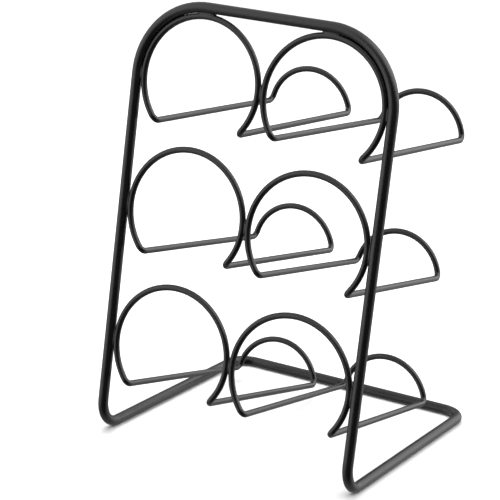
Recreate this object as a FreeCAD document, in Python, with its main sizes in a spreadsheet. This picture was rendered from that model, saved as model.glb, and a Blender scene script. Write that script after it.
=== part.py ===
"""Six-bottle wire wine rack: one bent rod frame, six bent wire cradles and the welds between them.

X runs to the right, Y to the rear and Z up, in millimetres. The origin is on the floor, midway
between the runners and midway between the front and the rear of the rack.

The frame is one steel rod. It stands up as an arch that leans back, turns at the floor into two
runners, and closes behind in a crossbar. Each cradle is one thinner wire: an open ring that lies
in the plane of the arch, two rails that run back from the ring's lower ends, and a low rear arch.
The rings almost touch the arch and each other, and small web welds fill the gaps.
"""
import FreeCAD, Part
import math
import os

from FreeCAD import Placement, Rotation, Vector

DIMENSIONS = {
    "rod_dia": 8.0,
    "wire_dia": 4.8,
    "weld_gap": 0.1,
    "lean": 5.6,
    "foot_radius": 21.0,
    "rear_corner_radius": 17.5,
    "base_depth": 216.0,
    "ring_radius": 49.0,
    "ring_end_angle": 53.0,
    "cradle_bend_radius": 5.0,
    "rail_length": 180.0,
    "rear_arch_half_angle": 73.5,
    "rear_arch_lean": 5.0,
    "height_bottom": 73.8,
    "height_middle": 179.6,
    "height_top": 279.4,
    "frame_seam": 2.0,
    "ring_seam_angle": 2.0,
    "ring_seam_place": 20.0,
    "web_thickness": 3.2,
    "leg_web_length": 20.0,
    "top_leg_web_length": 11.0,
    "ring_web_length": 16.0,
}
# How each cradle hangs, to half a degree: its rails droop to the rear and veer to the right, and
# the whole cradle is turned in the plane of its ring so that its rails move towards the middle.
CRADLE_ANGLES = {
    "bottom_left": {"droop": 11, "turn": 1, "veer": 0},
    "bottom_right": {"droop": 8.5, "turn": -1.5, "veer": -1},
    "middle_left": {"droop": 8, "turn": 2, "veer": 0},
    "middle_right": {"droop": 9, "turn": 0, "veer": -1.5},
    "top_left": {"droop": 3, "turn": 0.5, "veer": 0.5},
    "top_right": {"droop": 4, "turn": 3.5, "veer": 0.5},
}
ROWS = ("bottom", "middle", "top")
SIDES = {"left": -1, "right": 1}
X_AXIS = Vector(1, 0, 0)
Y_AXIS = Vector(0, 1, 0)
Z_AXIS = Vector(0, 0, 1)


def make_sheet(doc):
    """Put the driving dimensions and angles in a spreadsheet, one alias per row."""
    sizes = dict(DIMENSIONS)
    for cradle, angles in CRADLE_ANGLES.items():
        for angle, value in angles.items():
            sizes[f"{angle}_{cradle}"] = value
    sheet = doc.addObject("Spreadsheet::Sheet", "Sizes")
    for row, (alias, value) in enumerate(sizes.items(), start=1):
        sheet.set(f"A{row}", alias.replace("_", " "))
        sheet.set(f"B{row}", str(value))
        sheet.setAlias(f"B{row}", alias)
    doc.recompute()
    return sheet


class Layout:
    """Lengths and places that follow from the sheet."""

    def __init__(self, sheet):
        self.sheet = sheet
        self.rod_radius = sheet.get("rod_dia") / 2
        ring_outer = sheet.get("ring_radius") + sheet.get("wire_dia") / 2
        ring_to_rod = ring_outer + sheet.get("weld_gap") + self.rod_radius
        self.column_x = ring_outer + sheet.get("weld_gap") / 2
        self.leg_x = self.column_x + ring_to_rod
        self.arch_height = sheet.get("height_top") + ring_to_rod
        self.top_corner_radius = ring_to_rod
        foot_turn = math.radians(90 + sheet.get("lean"))
        foot_reach = sheet.get("foot_radius") * math.tan(foot_turn / 2)
        front_overhang = sheet.get("foot_radius") + self.rod_radius - foot_reach
        overall_depth = front_overhang + sheet.get("base_depth") + self.rod_radius
        self.front_y = front_overhang - overall_depth / 2
        self.rear_y = self.front_y + sheet.get("base_depth")
        self.arch_plane = Placement(
            Vector(0, self.front_y, self.rod_radius), Rotation(X_AXIS, -sheet.get("lean"))
        )

    def on_arch(self, x, height, rotation=Rotation()):
        """Placement of something that lies in the plane of the arch."""
        return self.arch_plane * Placement(Vector(x, 0, height), rotation)


def setback(incoming, outgoing, radius):
    """Distance from a corner to the start of a bend of this radius."""
    return radius * math.tan(incoming.getAngle(outgoing) / 2)


def bend(before, corner, after, reach):
    """Arc that rounds a corner from reach before it to reach after it, with its end points."""
    incoming = (corner - before).normalize()
    outgoing = (after - corner).normalize()
    radius = reach / math.tan(incoming.getAngle(outgoing) / 2)
    first = corner - incoming * reach
    last = corner + outgoing * reach
    to_centre = (outgoing - incoming).normalize()
    centre_distance = math.hypot(reach, radius)
    middle = corner + to_centre * (centre_distance - radius)
    return Part.Arc(first, middle, last).toShape(), first, last


def straight(first, last):
    return Part.LineSegment(first, last).toShape()


def rounded_path(start, corners, end):
    """Straight runs from start to end through the corners, each corner a (point, radius) pair."""
    points = [start] + [point for point, _ in corners] + [end]
    edges = []
    reached = start
    for index, (corner, radius) in enumerate(corners, start=1):
        before, after = points[index - 1], points[index + 1]
        arc, first, last = bend(before, corner, after, setback(corner - before, after - corner, radius))
        edges += [straight(reached, first), arc]
        reached = last
    edges.append(straight(reached, end))
    return edges


def make_rod(doc, name, edges, diameter_alias, placement=Placement()):
    """Sweep a round section, sized by the sheet, along the joined edges."""
    path = doc.addObject("Part::Feature", name + "_path")
    path.Shape = Part.Wire(edges)
    first_edge = edges[0]
    start = first_edge.firstVertex().Point
    tangent = first_edge.tangentAt(first_edge.FirstParameter)
    section = doc.addObject("Part::Circle", name + "_section")
    section.setExpression("Radius", f"Sizes.{diameter_alias} / 2")
    section.Placement = Placement(start, Rotation(Z_AXIS, tangent))
    rod = doc.addObject("Part::Sweep", name)
    rod.Sections = [section]
    rod.Spine = (path, [])
    rod.Solid = True
    rod.Label = name
    rod.Placement = placement
    return rod


def make_frame(doc, layout):
    """The frame rod, from one side of the seam in the crossbar right round to the other."""
    sheet = layout.sheet
    rod_radius = layout.rod_radius
    foot_radius = sheet.get("foot_radius")
    rear_radius = sheet.get("rear_corner_radius")
    half_seam = sheet.get("frame_seam") / 2

    def rear_corner(side):
        return Vector(side * layout.leg_x, layout.rear_y, rod_radius), rear_radius

    def front_foot(side):
        return Vector(side * layout.leg_x, layout.front_y, rod_radius), foot_radius

    def top_corner(side):
        return layout.on_arch(side * layout.leg_x, layout.arch_height).Base, layout.top_corner_radius

    corners = [rear_corner(1), front_foot(1), top_corner(1)]
    corners += [top_corner(-1), front_foot(-1), rear_corner(-1)]
    start = Vector(half_seam, layout.rear_y, rod_radius)
    end = Vector(-half_seam, layout.rear_y, rod_radius)
    return make_rod(doc, "frame_rod", rounded_path(start, corners, end), "rod_dia")


def make_frame_seam(doc, layout):
    """The butt weld that joins the two ends of the frame rod in the middle of the crossbar."""
    sheet = layout.sheet
    weld = doc.addObject("Part::Cylinder", "frame_butt_weld")
    weld.setExpression("Radius", "Sizes.rod_dia / 2")
    weld.setExpression("Height", "Sizes.frame_seam")
    start = Vector(-sheet.get("frame_seam") / 2, layout.rear_y, layout.rod_radius)
    weld.Placement = Placement(start, Rotation(Z_AXIS, X_AXIS))
    weld.Label = "frame_butt_weld"
    return weld


def cradle_placement(layout, row, side_name):
    """Centre of the ring, with the cradle turned in the ring's plane."""
    side = SIDES[side_name]
    turn = Rotation(Y_AXIS, side * layout.sheet.get(f"turn_{row}_{side_name}"))
    return layout.on_arch(side * layout.column_x, layout.sheet.get("height_" + row), turn)


def cradle_edges(layout, side, droop, veer):
    """Centreline of one cradle about its ring's centre: X across, Y square to the ring, Z up.

    Angles on the ring start from the point nearest the leg and go up over the top. The wire
    starts above its seam, and comes back to it from below.
    """
    sheet = layout.sheet
    radius = sheet.get("ring_radius")
    bend_radius = sheet.get("cradle_bend_radius")
    seam_angle = sheet.get("ring_seam_place")
    half_seam = sheet.get("ring_seam_angle") / 2
    near_end = -90 + sheet.get("ring_end_angle")
    far_end = 270 - sheet.get("ring_end_angle")

    def on_ring(angle):
        turned = math.radians(angle)
        return Vector(side * radius * math.cos(turned), 0, radius * math.sin(turned))

    def ring_arc(first, last):
        return Part.Arc(on_ring(first), on_ring((first + last) / 2), on_ring(last)).toShape()

    def along_ring(angle):
        """Direction of the ring's tangent as the angle grows."""
        turned = math.radians(angle)
        return Vector(-side * math.sin(turned), 0, math.cos(turned))

    slope = math.radians(droop - sheet.get("lean"))
    square_back = Vector(0, math.cos(slope), -math.sin(slope))
    sideways = math.radians(veer)
    rail_direction = square_back * math.cos(sideways) + X_AXIS * math.sin(sideways)
    front_reach = setback(along_ring(far_end), square_back, bend_radius)
    far_front = on_ring(far_end) + along_ring(far_end) * front_reach
    near_front = on_ring(near_end) - along_ring(near_end) * front_reach
    rail = rail_direction * sheet.get("rail_length")
    far_rear = far_front + rail
    near_rear = near_front + rail

    arch_tilt = slope - math.radians(sheet.get("rear_arch_lean"))
    arch_up = Vector(0, math.sin(arch_tilt), math.cos(arch_tilt))
    side_slant = math.radians(90 - sheet.get("rear_arch_half_angle"))
    far_side = arch_up * math.cos(side_slant) + X_AXIS * side * math.sin(side_slant)
    near_side = arch_up * math.cos(side_slant) - X_AXIS * side * math.sin(side_slant)
    rear_reach = setback(square_back, far_side, bend_radius)
    half_span = (near_rear - far_rear).Length / 2
    arch_radius = (half_span - rear_reach * math.sin(side_slant)) / math.cos(side_slant)
    arch_rise = rear_reach * math.cos(side_slant) + arch_radius * (1 - math.sin(side_slant))
    arch_top = (near_rear + far_rear) / 2 + arch_up * arch_rise
    far_foot = far_rear + far_side * rear_reach
    near_foot = near_rear + near_side * rear_reach

    far_front_bend, _, far_rail_start = bend(on_ring(far_end), far_front, far_rear, front_reach)
    far_rear_bend, far_rail_end, _ = bend(far_front, far_rear, far_foot, rear_reach)
    near_rear_bend, _, near_rail_start = bend(near_foot, near_rear, near_front, rear_reach)
    near_front_bend, near_rail_end, _ = bend(near_rear, near_front, on_ring(near_end), front_reach)
    return [
        ring_arc(seam_angle + half_seam, far_end),
        far_front_bend,
        straight(far_rail_start, far_rail_end),
        far_rear_bend,
        Part.Arc(far_foot, arch_top, near_foot).toShape(),
        near_rear_bend,
        straight(near_rail_start, near_rail_end),
        near_front_bend,
        ring_arc(near_end, seam_angle - half_seam),
    ]


def make_cradle(doc, layout, row, side_name):
    droop = layout.sheet.get(f"droop_{row}_{side_name}")
    veer = layout.sheet.get(f"veer_{row}_{side_name}")
    edges = cradle_edges(layout, SIDES[side_name], droop, veer)
    placement = cradle_placement(layout, row, side_name)
    return make_rod(doc, f"cradle_{row}_{side_name}", edges, "wire_dia", placement)


def make_cradle_seam(doc, layout, row, side_name):
    """The butt weld in a cradle's ring: a slice of the ring that fills its seam."""
    side = SIDES[side_name]
    sheet = layout.sheet
    name = f"cradle_butt_weld_{row}_{side_name}"
    weld = doc.addObject("Part::Torus", name)
    weld.setExpression("Radius1", "Sizes.ring_radius")
    weld.setExpression("Radius2", "Sizes.wire_dia / 2")
    weld.setExpression("Angle3", "Sizes.ring_seam_angle")
    ring_plane = Rotation(X_AXIS, 90)
    if side < 0:
        ring_plane = Rotation(Z_AXIS, 180) * ring_plane
    first_angle = sheet.get("ring_seam_place") - sheet.get("ring_seam_angle") / 2
    slice_place = Placement(Vector(), ring_plane * Rotation(Z_AXIS, first_angle))
    weld.Placement = cradle_placement(layout, row, side_name) * slice_place
    weld.Label = name
    return weld


def make_web(doc, layout, name, span, length_alias, placement, neighbours):
    """A web weld: a flat bar between two round bars' centrelines, less the bars themselves.

    X goes from one centreline to the other, Z along the joint and Y through the thickness.
    """
    bar = doc.addObject("Part::Box", name + "_bar")
    bar.Length = span
    bar.setExpression("Width", "Sizes.web_thickness")
    bar.setExpression("Height", f"Sizes.{length_alias}")
    thickness = layout.sheet.get("web_thickness")
    length = layout.sheet.get(length_alias)
    bar.Placement = placement * Placement(Vector(0, -thickness / 2, -length / 2), Rotation())
    weld = bar
    for number, neighbour in enumerate(neighbours, start=1):
        cut = doc.addObject("Part::Cut", f"{name}_cut_{number}")
        cut.Base = weld
        cut.Tool = neighbour
        weld = cut
    weld.Label = name
    return weld


def make_leg_web(doc, layout, row, side_name, frame, cradle):
    """Weld between a ring and the leg beside it."""
    side = SIDES[side_name]
    span = layout.leg_x - layout.column_x - layout.sheet.get("ring_radius")
    inner_x = layout.leg_x - span if side > 0 else -layout.leg_x
    place = layout.on_arch(inner_x, layout.sheet.get("height_" + row))
    length_alias = "top_leg_web_length" if row == "top" else "leg_web_length"
    name = f"weld_leg_{row}_{side_name}"
    return make_web(doc, layout, name, span, length_alias, place, (frame, cradle))


def make_centre_web(doc, layout, row, left_cradle, right_cradle):
    """Weld between the two rings of a row."""
    half_span = layout.column_x - layout.sheet.get("ring_radius")
    place = layout.on_arch(-half_span, layout.sheet.get("height_" + row))
    name = "weld_centre_" + row
    rings = (left_cradle, right_cradle)
    return make_web(doc, layout, name, 2 * half_span, "ring_web_length", place, rings)


def make_top_web(doc, layout, side_name, frame, cradle):
    """Weld between a top ring and the bar of the arch above it."""
    ring_top = layout.sheet.get("height_top") + layout.sheet.get("ring_radius")
    span = layout.arch_height - ring_top
    place = layout.on_arch(SIDES[side_name] * layout.column_x, ring_top, Rotation(Y_AXIS, -90))
    name = "weld_top_bar_" + side_name
    return make_web(doc, layout, name, span, "ring_web_length", place, (frame, cradle))


def build_rack(doc):
    """Every separate piece of the rack, in the order in which it is made."""
    layout = Layout(make_sheet(doc))
    frame = make_frame(doc, layout)
    cradles = {}
    seams = [make_frame_seam(doc, layout)]
    for row in ROWS:
        for side_name in SIDES:
            cradles[row, side_name] = make_cradle(doc, layout, row, side_name)
            seams.append(make_cradle_seam(doc, layout, row, side_name))
    doc.recompute()
    webs = []
    for (row, side_name), cradle in cradles.items():
        webs.append(make_leg_web(doc, layout, row, side_name, frame, cradle))
    for row in ROWS:
        webs.append(make_centre_web(doc, layout, row, cradles[row, "left"], cradles[row, "right"]))
    for side_name in SIDES:
        webs.append(make_top_web(doc, layout, side_name, frame, cradles["top", side_name]))
    doc.recompute()
    return [frame, *cradles.values(), *seams, *webs]


def check(doc, pieces):
    for item in doc.Objects:
        if "Invalid" in item.State or "Error" in item.State:
            raise RuntimeError(f"{item.Name} failed: {item.State}")
    for piece in pieces:
        if piece.Shape.isNull() or not piece.Shape.isValid():
            raise RuntimeError(f"{piece.Label} has no valid shape")


def export(pieces):
    os.makedirs("parts", exist_ok=True)
    for piece in pieces:
        piece.Shape.exportStep(f"parts/{piece.Label}.step")


def main():
    doc = FreeCAD.newDocument("WineRack")
    pieces = build_rack(doc)
    check(doc, pieces)
    export(pieces)
    for piece in pieces:
        print(f"{piece.Label}: {piece.Shape.Volume:.2f} mm3 in {len(piece.Shape.Solids)} solid(s)")


main()
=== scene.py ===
"""Looks of the wire wine rack: satin black powder coat, smooth weld beads and a white studio."""
import math
from collections import namedtuple

import bmesh
import bpy
from mathutils import Matrix, Vector


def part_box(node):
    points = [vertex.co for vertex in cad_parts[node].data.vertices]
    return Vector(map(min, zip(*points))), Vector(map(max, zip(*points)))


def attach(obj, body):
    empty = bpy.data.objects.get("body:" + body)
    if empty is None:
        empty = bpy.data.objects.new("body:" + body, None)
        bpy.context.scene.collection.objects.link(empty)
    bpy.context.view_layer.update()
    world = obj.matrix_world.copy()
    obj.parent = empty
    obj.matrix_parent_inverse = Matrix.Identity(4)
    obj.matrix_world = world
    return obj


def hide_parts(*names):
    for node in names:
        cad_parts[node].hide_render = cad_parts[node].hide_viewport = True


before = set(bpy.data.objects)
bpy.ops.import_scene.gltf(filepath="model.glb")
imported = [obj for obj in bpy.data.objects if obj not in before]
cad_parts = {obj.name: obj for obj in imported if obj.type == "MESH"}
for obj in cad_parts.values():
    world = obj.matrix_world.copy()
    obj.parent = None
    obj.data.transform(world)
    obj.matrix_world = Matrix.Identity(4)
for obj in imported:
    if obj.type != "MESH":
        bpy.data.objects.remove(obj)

MM = 0.001
SLOT = "black_powder_coat"

# The CAD model's own lean, and its sizes in millimetres, to which the beads are fitted.
ARCH_LEAN = math.radians(5.6)
ARCH_UP = Vector((0, math.sin(ARCH_LEAN), math.cos(ARCH_LEAN)))
ARCH_NORMAL = Vector((0, -math.cos(ARCH_LEAN), math.sin(ARCH_LEAN)))
ROD_RADIUS = 4.0
WIRE_RADIUS = 2.4
RING_RADIUS = 49.0
WELD_GAP = 0.1

ROWS = ("bottom", "middle", "top")
SIDES = {"left": -1, "right": 1}


# ---------------------------------------------------------------- camera and studio

CAMERA_AZIMUTH = math.radians(28.8)
CAMERA_ELEVATION = math.radians(15.8)
CAMERA_ROLL = math.radians(3.9)
CAMERA_DISTANCE = 1.47
CAMERA_AIM = Vector((-0.018, -0.049, 0.153))
SENSOR_WIDTH = 36.0
FOCAL_LENGTH = 138.6
TENT_GREY = 0.8
TENT_LIGHT = 1.1
DARK_SIDE_LIGHT = 0.05
BACKDROP_WHITE = 1.4

# Soft round patches of the tent, in degrees: the azimuth from the camera's side and the elevation
# of the middle, how far from the middle the patch ends and where it is full, and its strength.
Patch = namedtuple("Patch", "azimuth elevation edge core strength")
SHADES = {
    "camera side": Patch(15, 0, 75, 30, 1.0),
    "below": Patch(0, -90, 90, 35, 0.6),
    "behind": Patch(180, -5, 45, 15, 0.8),
}
LIGHTS = {
    "upper right": Patch(80, 45, 45, 15, 2.4),
    "right": Patch(105, 10, 35, 10, 0.7),
    "rear right": Patch(132, 24, 34, 10, 1.1),
    "front overhead": Patch(30, 55, 40, 10, 0.9),
    "upper left": Patch(-80, 60, 50, 15, 0.4),
    "left": Patch(-75, 5, 45, 15, 0.8),
}

OVERHEAD_PLACE = (-0.6, 0.5, 1.7)
OVERHEAD_SIZE = (1.6, 1.6)
OVERHEAD_POWER = 40
FLOOR_REACH = 3.0
FLOOR_GREY = 0.66
FLOOR_ROUGHNESS = 0.6
FLOOR_SHINE = 0.2


def make_camera():
    """A long lens at the front right, looking slightly down and rolled a little."""
    data = bpy.data.cameras.new("camera")
    data.sensor_width = SENSOR_WIDTH
    data.lens = FOCAL_LENGTH
    data.clip_start = 0.05
    data.clip_end = 50
    camera = bpy.data.objects.new("camera", data)
    bpy.context.collection.objects.link(camera)
    flat = math.cos(CAMERA_ELEVATION)
    back = Vector((
        math.sin(CAMERA_AZIMUTH) * flat,
        -math.cos(CAMERA_AZIMUTH) * flat,
        math.sin(CAMERA_ELEVATION),
    ))
    level = Vector((math.cos(CAMERA_AZIMUTH), math.sin(CAMERA_AZIMUTH), 0))
    upright = back.cross(level)
    right = level * math.cos(CAMERA_ROLL) + upright * math.sin(CAMERA_ROLL)
    up = upright * math.cos(CAMERA_ROLL) - level * math.sin(CAMERA_ROLL)
    turned = Matrix((right, up, back)).transposed().to_4x4()
    camera.matrix_world = Matrix.Translation(CAMERA_AIM + back * CAMERA_DISTANCE) @ turned
    bpy.context.scene.camera = camera


def node(tree, kind, **values):
    """A shader node with its properties set."""
    made = tree.nodes.new(kind)
    for name, value in values.items():
        setattr(made, name, value)
    return made


def smooth_range(tree, value, low, high):
    """0 where value is below low, 1 above high, and a smooth rise between."""
    rise = node(tree, "ShaderNodeMapRange", interpolation_type="SMOOTHSTEP")
    rise.inputs["From Min"].default_value = low
    rise.inputs["From Max"].default_value = high
    tree.links.new(value, rise.inputs["Value"])
    return rise.outputs["Result"]


def maths(tree, operation, first, second):
    """A two-input maths node; each input is a socket or a number."""
    made = node(tree, "ShaderNodeMath", operation=operation)
    for socket, value in zip(made.inputs, (first, second)):
        if isinstance(value, bpy.types.NodeSocket):
            tree.links.new(value, socket)
        else:
            socket.default_value = value
    return made.outputs[0]


def compass(azimuth, elevation):
    """Direction towards a place round the rack: degrees from the camera's side, and up."""
    turn = CAMERA_AZIMUTH + math.radians(azimuth)
    rise = math.radians(elevation)
    return Vector((
        math.sin(turn) * math.cos(rise),
        -math.cos(turn) * math.cos(rise),
        math.sin(rise),
    ))


def patch_light(tree, direction, patch):
    """The patch's strength inside its core, nothing past its edge, and a smooth fall between."""
    dot = node(tree, "ShaderNodeVectorMath", operation="DOT_PRODUCT")
    tree.links.new(direction, dot.inputs[0])
    dot.inputs[1].default_value = compass(patch.azimuth, patch.elevation)
    low = math.cos(math.radians(patch.edge))
    high = math.cos(math.radians(patch.core))
    fade = smooth_range(tree, dot.outputs["Value"], low, high)
    return maths(tree, "MULTIPLY", fade, patch.strength)


def make_studio_sky():
    """A light tent: white round the rack, shaded in places, with softboxes as brighter patches."""
    world = bpy.data.worlds.new("studio")
    bpy.context.scene.world = world
    world.use_nodes = True
    tree = world.node_tree
    tree.nodes.clear()
    direction = node(tree, "ShaderNodeTexCoord").outputs["Generated"]
    tent = TENT_LIGHT
    for shade in SHADES.values():
        tent = maths(tree, "SUBTRACT", tent, patch_light(tree, direction, shade))
    tent = maths(tree, "MAXIMUM", tent, DARK_SIDE_LIGHT)
    for light in LIGHTS.values():
        tent = maths(tree, "ADD", tent, patch_light(tree, direction, light))
    rays = node(tree, "ShaderNodeLightPath")
    backdrop = maths(tree, "MULTIPLY", rays.outputs["Is Camera Ray"], BACKDROP_WHITE)
    background = node(tree, "ShaderNodeBackground")
    background.inputs["Color"].default_value = (TENT_GREY, TENT_GREY, TENT_GREY, 1)
    tree.links.new(maths(tree, "MAXIMUM", tent, backdrop), background.inputs["Strength"])
    output = node(tree, "ShaderNodeOutputWorld")
    tree.links.new(background.outputs["Background"], output.inputs["Surface"])


def make_softbox(name, place, size, power):
    """A soft light aimed at the rack's foot; neither the camera nor reflections show it."""
    data = bpy.data.lights.new(name, "AREA")
    data.shape = "RECTANGLE"
    data.size, data.size_y = size
    data.energy = power
    light = bpy.data.objects.new(name, data)
    bpy.context.collection.objects.link(light)
    light.location = place
    light.rotation_mode = "QUATERNION"
    light.rotation_quaternion = (-Vector(place)).to_track_quat("-Z", "Y")
    light.visible_camera = False
    light.visible_glossy = False


def make_floor():
    """A plain white table top under the rack."""
    mesh = bpy.data.meshes.new("floor")
    corners = [(-1, -1), (1, -1), (1, 1), (-1, 1)]
    mesh.from_pydata([(x * FLOOR_REACH, y * FLOOR_REACH, 0) for x, y in corners], [], [(0, 1, 2, 3)])
    floor = bpy.data.objects.new("floor", mesh)
    bpy.context.collection.objects.link(floor)
    material = bpy.data.materials.new("white_floor")
    material.use_nodes = True
    shader = material.node_tree.nodes["Principled BSDF"]
    shader.inputs["Base Color"].default_value = (FLOOR_GREY, FLOOR_GREY, FLOOR_GREY, 1)
    shader.inputs["Roughness"].default_value = FLOOR_ROUGHNESS
    shader.inputs["Specular IOR Level"].default_value = FLOOR_SHINE
    mesh.materials.append(material)
    floor.visible_glossy = False


# ---------------------------------------------------------------- material

# Middle range of a noise texture, and how many features of each kind fit in a metre.
NOISE_LOW = 0.3
NOISE_HIGH = 0.7
TONE_SCALE = 45
GLOSS_SCALE = 160
PEEL_SCALE = 700
GRAIN_SCALE = 3200
DARK_TONE = (0.0024, 0.0023, 0.0030, 1)
LIGHT_TONE = (0.0040, 0.0039, 0.0047, 1)
GLOSSY_ROUGHNESS = 0.17
DULL_ROUGHNESS = 0.25
PEEL_STRENGTH = 0.50
PEEL_HEIGHT = 0.00030
GRAIN_STRENGTH = 0.45
GRAIN_HEIGHT = 0.00008
COAT_IOR = 1.5


def noise(tree, coordinates, scale, detail):
    """A noise value between 0 and 1 at the coordinates."""
    texture = node(tree, "ShaderNodeTexNoise")
    texture.inputs["Scale"].default_value = scale
    texture.inputs["Detail"].default_value = detail
    tree.links.new(coordinates, texture.inputs["Vector"])
    return texture.outputs["Fac"]


def spread(tree, value, low, high):
    """A noise value stretched over a range."""
    made = node(tree, "ShaderNodeMapRange")
    made.inputs["From Min"].default_value = NOISE_LOW
    made.inputs["From Max"].default_value = NOISE_HIGH
    made.inputs["To Min"].default_value = low
    made.inputs["To Max"].default_value = high
    tree.links.new(value, made.inputs["Value"])
    return made.outputs["Result"]


def bump(tree, height, strength, distance, below=None):
    """A bumped normal, laid over another bumped normal where one is given below it."""
    made = node(tree, "ShaderNodeBump")
    made.inputs["Strength"].default_value = strength
    made.inputs["Distance"].default_value = distance
    tree.links.new(height, made.inputs["Height"])
    if below is not None:
        tree.links.new(below, made.inputs["Normal"])
    return made.outputs["Normal"]


def make_powder_coat():
    """Satin black powder coat: soft orange peel, a fine grain and slightly uneven gloss."""
    material = bpy.data.materials.new(SLOT)
    material.use_nodes = True
    tree = material.node_tree
    shader = tree.nodes["Principled BSDF"]
    place = node(tree, "ShaderNodeTexCoord").outputs["Object"]

    patches = noise(tree, place, TONE_SCALE, 3)
    tone = node(tree, "ShaderNodeValToRGB")
    tone.color_ramp.elements[0].position = NOISE_LOW
    tone.color_ramp.elements[0].color = DARK_TONE
    tone.color_ramp.elements[1].position = NOISE_HIGH
    tone.color_ramp.elements[1].color = LIGHT_TONE
    tree.links.new(patches, tone.inputs["Fac"])
    tree.links.new(tone.outputs["Color"], shader.inputs["Base Color"])

    peel = noise(tree, place, PEEL_SCALE, 2)
    grain = noise(tree, place, GRAIN_SCALE, 2)
    gloss = noise(tree, place, GLOSS_SCALE, 3)
    roughness = spread(tree, gloss, GLOSSY_ROUGHNESS, DULL_ROUGHNESS)
    tree.links.new(roughness, shader.inputs["Roughness"])
    rough_skin = bump(tree, grain, GRAIN_STRENGTH, GRAIN_HEIGHT)
    skin = bump(tree, peel, PEEL_STRENGTH, PEEL_HEIGHT, rough_skin)
    tree.links.new(skin, shader.inputs["Normal"])
    shader.inputs["IOR"].default_value = COAT_IOR
    return material


def paint(shown, material):
    """Give a piece this one material."""
    shown.data.materials.clear()
    shown.data.materials.append(material)


# ---------------------------------------------------------------- weld beads

# Sizes of the welds in millimetres. A ring's centre is COLUMN_X from the middle of the rack.
COLUMN_X = RING_RADIUS + WIRE_RADIUS + WELD_GAP / 2
LEG_HALF_LENGTH = 10.5
TOP_LEG_HALF_LENGTH = 5.5
TOP_BAR_HALF_LENGTH = 8.0
CENTRE_HALF_LENGTH = 8.5
ROD_FILLET = 2.5
CENTRE_FILLET = 2.4
SMALLEST_FILLET = 0.01
RIPPLE_PITCH = 1.9
BEAD_SUNK = 0.08
# How many radii past its bar's face a bead begins, how blunt its ends are, and the share of the
# fillet by which it ripples.
WIRE_REACH = 1.4
ROD_REACH = 0.85
END_TAPER = 4
RIPPLE_DEPTH = 0.05
# How finely a bead is worked out: rows across it, points along a row, and steps to its surface.
BEAD_COLUMNS = 26
BEAD_STATIONS = 49
HALVINGS = 24
# In metres: points closer than this are merged, and edges shorter than this are removed.
MERGE_DISTANCE = 0.01 * MM
SHORTEST_EDGE = 0.005 * MM


def ring_distance(across, along, out, centre):
    """Distance to the surface of a ring whose centre lies on the across axis."""
    return math.hypot(math.hypot(across - centre, along) - RING_RADIUS, out) - WIRE_RADIUS


def rod_distance(across, along, out, curls):
    """Distance to the frame rod, which beside a top ring curls round it once along is positive."""
    if curls and along > 0:
        from_centre = math.hypot(across - COLUMN_X, along)
        in_plane = from_centre - (COLUMN_X + WELD_GAP / 2 + ROD_RADIUS)
    else:
        in_plane = across + WELD_GAP / 2 + ROD_RADIUS
    return math.hypot(in_plane, out) - ROD_RADIUS


def blended(first, second, reach):
    """The nearer of two distances, rounded into a fillet where they differ by less than reach."""
    overlap = max(reach - abs(first - second), 0)
    return min(first, second) - overlap * overlap / (4 * reach)


def zero_between(inside, outside, field):
    """Where field turns from negative at inside to positive at outside."""
    for _ in range(HALVINGS):
        middle = (inside + outside) / 2
        if field(middle) < 0:
            inside = middle
        else:
            outside = middle
    return inside


class Bead:
    """A smooth fillet of weld metal that fills the gap between two bars for a short length.

    across runs from the first bar to the second, along follows the joint, out leaves the arch.
    """

    def __init__(self, first_is_ring, curls, half_length, fillet):
        self.first_is_ring = first_is_ring
        self.curls = curls
        self.half_length = half_length
        self.fillet = fillet

    def field(self, across, along, out):
        """Negative inside the weld and the bars."""
        if self.first_is_ring:
            first = ring_distance(across, along, out, -COLUMN_X)
        else:
            first = rod_distance(across, along, out, self.curls)
        second = ring_distance(across, along, out, COLUMN_X)
        share = min(abs(along) / self.half_length, 1)
        ripple = 1 + RIPPLE_DEPTH * math.sin(math.tau * along / RIPPLE_PITCH)
        reach = self.fillet * ripple * math.sqrt(1 - share ** END_TAPER)
        return blended(first, second, max(reach, SMALLEST_FILLET)) + BEAD_SUNK

    def end(self, across, sense):
        """How far along the joint the weld goes at this place across it."""
        limit = sense * self.half_length
        if self.field(across, limit, 0) < 0:
            return limit
        return zero_between(0, limit, lambda along: self.field(across, along, 0))

    def height(self, across, along):
        """Half the weld's thickness here."""
        if self.field(across, along, 0) >= 0:
            return 0
        return zero_between(0, 2 * ROD_RADIUS, lambda out: self.field(across, along, out))

    def sections(self):
        """For each place across, the (across, along, half thickness) points from end to end."""
        first_reach = WIRE_RADIUS * WIRE_REACH if self.first_is_ring else ROD_RADIUS * ROD_REACH
        start = -WELD_GAP / 2 - first_reach
        stop = WELD_GAP / 2 + WIRE_RADIUS * WIRE_REACH
        for column in range(BEAD_COLUMNS):
            across = start + (stop - start) * column / (BEAD_COLUMNS - 1)
            low = self.end(across, -1)
            high = self.end(across, 1)
            row = []
            for station in range(BEAD_STATIONS):
                turn = math.pi * station / (BEAD_STATIONS - 1)
                along = (low + high) / 2 - (high - low) / 2 * math.cos(turn)
                row.append((across, along, self.height(across, along)))
            yield row


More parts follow.
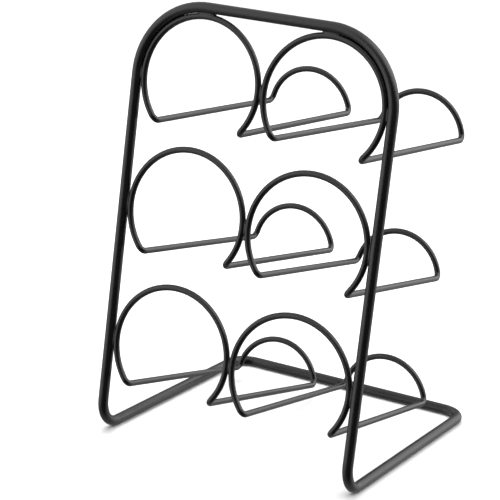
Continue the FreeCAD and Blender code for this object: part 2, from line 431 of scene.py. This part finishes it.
def make_bead(node_name, centre, axes, bead, material):
    """Mesh of one bead in the row frame; it stands for the plain CAD web of that name."""
    across_axis, along_axis, out_axis = axes
    sections = list(bead.sections())
    vertices = []
    for sense in (1, -1):
        for row in sections:
            for across, along, half in row:
                offset = across_axis * across + along_axis * along + out_axis * half * sense
                vertices.append(centre + offset * MM)
    back = BEAD_COLUMNS * BEAD_STATIONS

    def at(column, station, side):
        return side * back + column * BEAD_STATIONS + station

    faces = []
    for column in range(BEAD_COLUMNS - 1):
        for station in range(BEAD_STATIONS - 1):
            for side in (0, 1):
                faces.append([at(column, station, side), at(column + 1, station, side),
                              at(column + 1, station + 1, side), at(column, station + 1, side)])
        for station in (0, BEAD_STATIONS - 1):
            faces.append([at(column, station, 0), at(column + 1, station, 0),
                          at(column + 1, station, 1), at(column, station, 1)])
    for column in (0, BEAD_COLUMNS - 1):
        for station in range(BEAD_STATIONS - 1):
            faces.append([at(column, station, 0), at(column, station + 1, 0),
                          at(column, station + 1, 1), at(column, station, 1)])
    mesh = bpy.data.meshes.new(node_name + "_bead")
    mesh.from_pydata(vertices, [], faces)
    tidy = bmesh.new()
    tidy.from_mesh(mesh)
    bmesh.ops.remove_doubles(tidy, verts=tidy.verts, dist=MERGE_DISTANCE)
    bmesh.ops.dissolve_degenerate(tidy, edges=tidy.edges, dist=SHORTEST_EDGE)
    bmesh.ops.recalc_face_normals(tidy, faces=tidy.faces)
    tidy.to_mesh(mesh)
    tidy.free()
    mesh.shade_smooth()
    shown = bpy.data.objects.new(node_name + "_bead", mesh)
    bpy.context.collection.objects.link(shown)
    paint(shown, material)
    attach(shown, "root")
    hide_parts(node_name)


def box_centre(name):
    """Middle of a CAD node's box, in metres."""
    low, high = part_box(name)
    return (low + high) / 2


def make_beads(material):
    """Every weld between bars: ring to leg, ring to ring, and top ring to top bar."""
    across_x = Vector((1, 0, 0))
    for row in ROWS:
        top = row == "top"
        for side_name, side in SIDES.items():
            name = f"weld_leg_{row}_{side_name}"
            centre = box_centre(name)
            centre.x = side * 2 * COLUMN_X * MM
            axes = (across_x * -side, ARCH_UP, ARCH_NORMAL)
            half_length = TOP_LEG_HALF_LENGTH if top else LEG_HALF_LENGTH
            bead = Bead(False, top, half_length, ROD_FILLET)
            make_bead(name, centre, axes, bead, material)
        name = "weld_centre_" + row
        centre = box_centre(name)
        centre.x = 0
        bead = Bead(True, False, CENTRE_HALF_LENGTH, CENTRE_FILLET)
        make_bead(name, centre, (across_x, ARCH_UP, ARCH_NORMAL), bead, material)
    bead = Bead(False, True, TOP_BAR_HALF_LENGTH, ROD_FILLET)
    for side_name, side in SIDES.items():
        ring_centre = box_centre("weld_leg_top_" + side_name)
        ring_centre.x = side * COLUMN_X * MM
        centre = ring_centre + ARCH_UP * COLUMN_X * MM
        axes = (-ARCH_UP, across_x * side, ARCH_NORMAL)
        make_bead("weld_top_bar_" + side_name, centre, axes, bead, material)


# ---------------------------------------------------------------- the object

def main():
    """The studio, the coat on every CAD piece, and the beads in place of the plain webs."""
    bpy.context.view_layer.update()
    bpy.context.scene.view_settings.view_transform = "Standard"
    make_camera()
    make_studio_sky()
    make_softbox("overhead", OVERHEAD_PLACE, OVERHEAD_SIZE, OVERHEAD_POWER)
    make_floor()
    coat = make_powder_coat()
    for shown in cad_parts.values():
        paint(shown, coat)
    make_beads(coat)


main()
